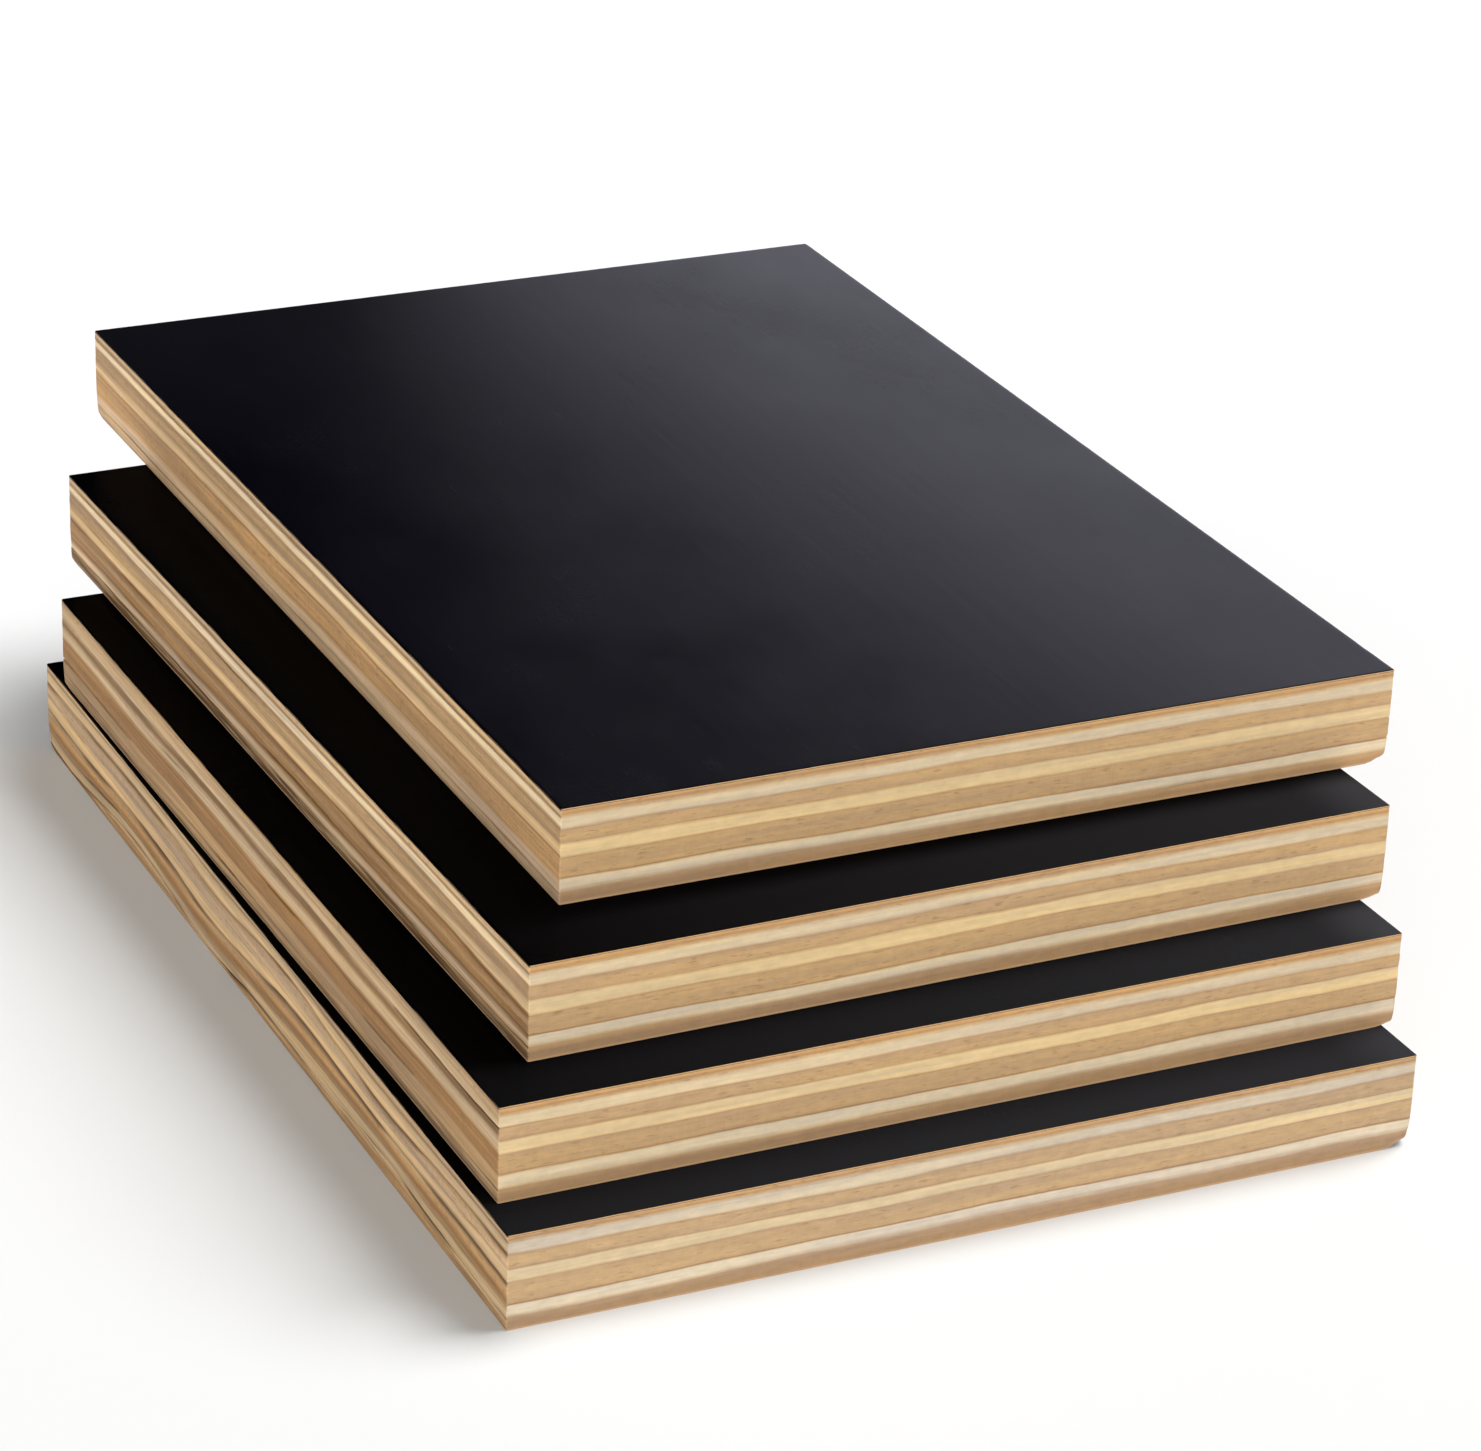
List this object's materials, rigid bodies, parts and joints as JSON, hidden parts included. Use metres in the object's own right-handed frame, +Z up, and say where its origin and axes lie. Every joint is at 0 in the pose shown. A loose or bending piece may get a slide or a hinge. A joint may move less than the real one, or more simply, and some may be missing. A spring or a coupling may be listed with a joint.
{
  "type": "stack of plywood sheets",
  "caption": "Small stack of black film-faced plywood sheets with banded veneer edges, each sheet laid slightly askew on the one below, used as raw board stock.",
  "frame": {"origin": "on the floor, under the middle of the whole stack's plan outline", "axes": "+Z up through the stack, +Y along the length of the sheets, away from the ends that fan forward, +X across the sheets"},
  "size_m": [0.1906, 0.2914, 0.072],
  "materials": {
    "phenolic_film": "satin phenolic film, near black",
    "ply_1_veneer": "sanded face veneer, orange tan",
    "ply_2_veneer": "sawn cross veneer, pale cream",
    "ply_3_veneer": "sawn veneer, tan",
    "ply_4_veneer": "sawn cross veneer, golden yellow",
    "ply_5_veneer": "sawn veneer, tan",
    "ply_6_veneer": "sawn cross veneer, off-white",
    "ply_7_veneer": "sawn face veneer, brown tan"
  },
  "bodies": {
    "root": {"sheet_1_film_top": "phenolic_film", "sheet_1_ply_1": "ply_1_veneer", "sheet_1_ply_2": "ply_2_veneer", "sheet_1_ply_3": "ply_3_veneer", "sheet_1_ply_4": "ply_4_veneer", "sheet_1_ply_5": "ply_5_veneer", "sheet_1_ply_6": "ply_6_veneer", "sheet_1_ply_7": "ply_7_veneer", "sheet_1_film_bottom": "phenolic_film", "sheet_2_film_top": "phenolic_film", "sheet_2_ply_1": "ply_1_veneer", "sheet_2_ply_2": "ply_2_veneer", "sheet_2_ply_3": "ply_3_veneer", "sheet_2_ply_4": "ply_4_veneer", "sheet_2_ply_5": "ply_5_veneer", "sheet_2_ply_6": "ply_6_veneer", "sheet_2_ply_7": "ply_7_veneer", "sheet_2_film_bottom": "phenolic_film", "sheet_3_film_top": "phenolic_film", "sheet_3_ply_1": "ply_1_veneer", "sheet_3_ply_2": "ply_2_veneer", "sheet_3_ply_3": "ply_3_veneer", "sheet_3_ply_4": "ply_4_veneer", "sheet_3_ply_5": "ply_5_veneer", "sheet_3_ply_6": "ply_6_veneer", "sheet_3_ply_7": "ply_7_veneer", "sheet_3_film_bottom": "phenolic_film", "sheet_4_film_top": "phenolic_film", "sheet_4_ply_1": "ply_1_veneer", "sheet_4_ply_2": "ply_2_veneer", "sheet_4_ply_3": "ply_3_veneer", "sheet_4_ply_4": "ply_4_veneer", "sheet_4_ply_5": "ply_5_veneer", "sheet_4_ply_6": "ply_6_veneer", "sheet_4_ply_7": "ply_7_veneer", "sheet_4_film_bottom": "phenolic_film"}
  },
  "joints": []
}
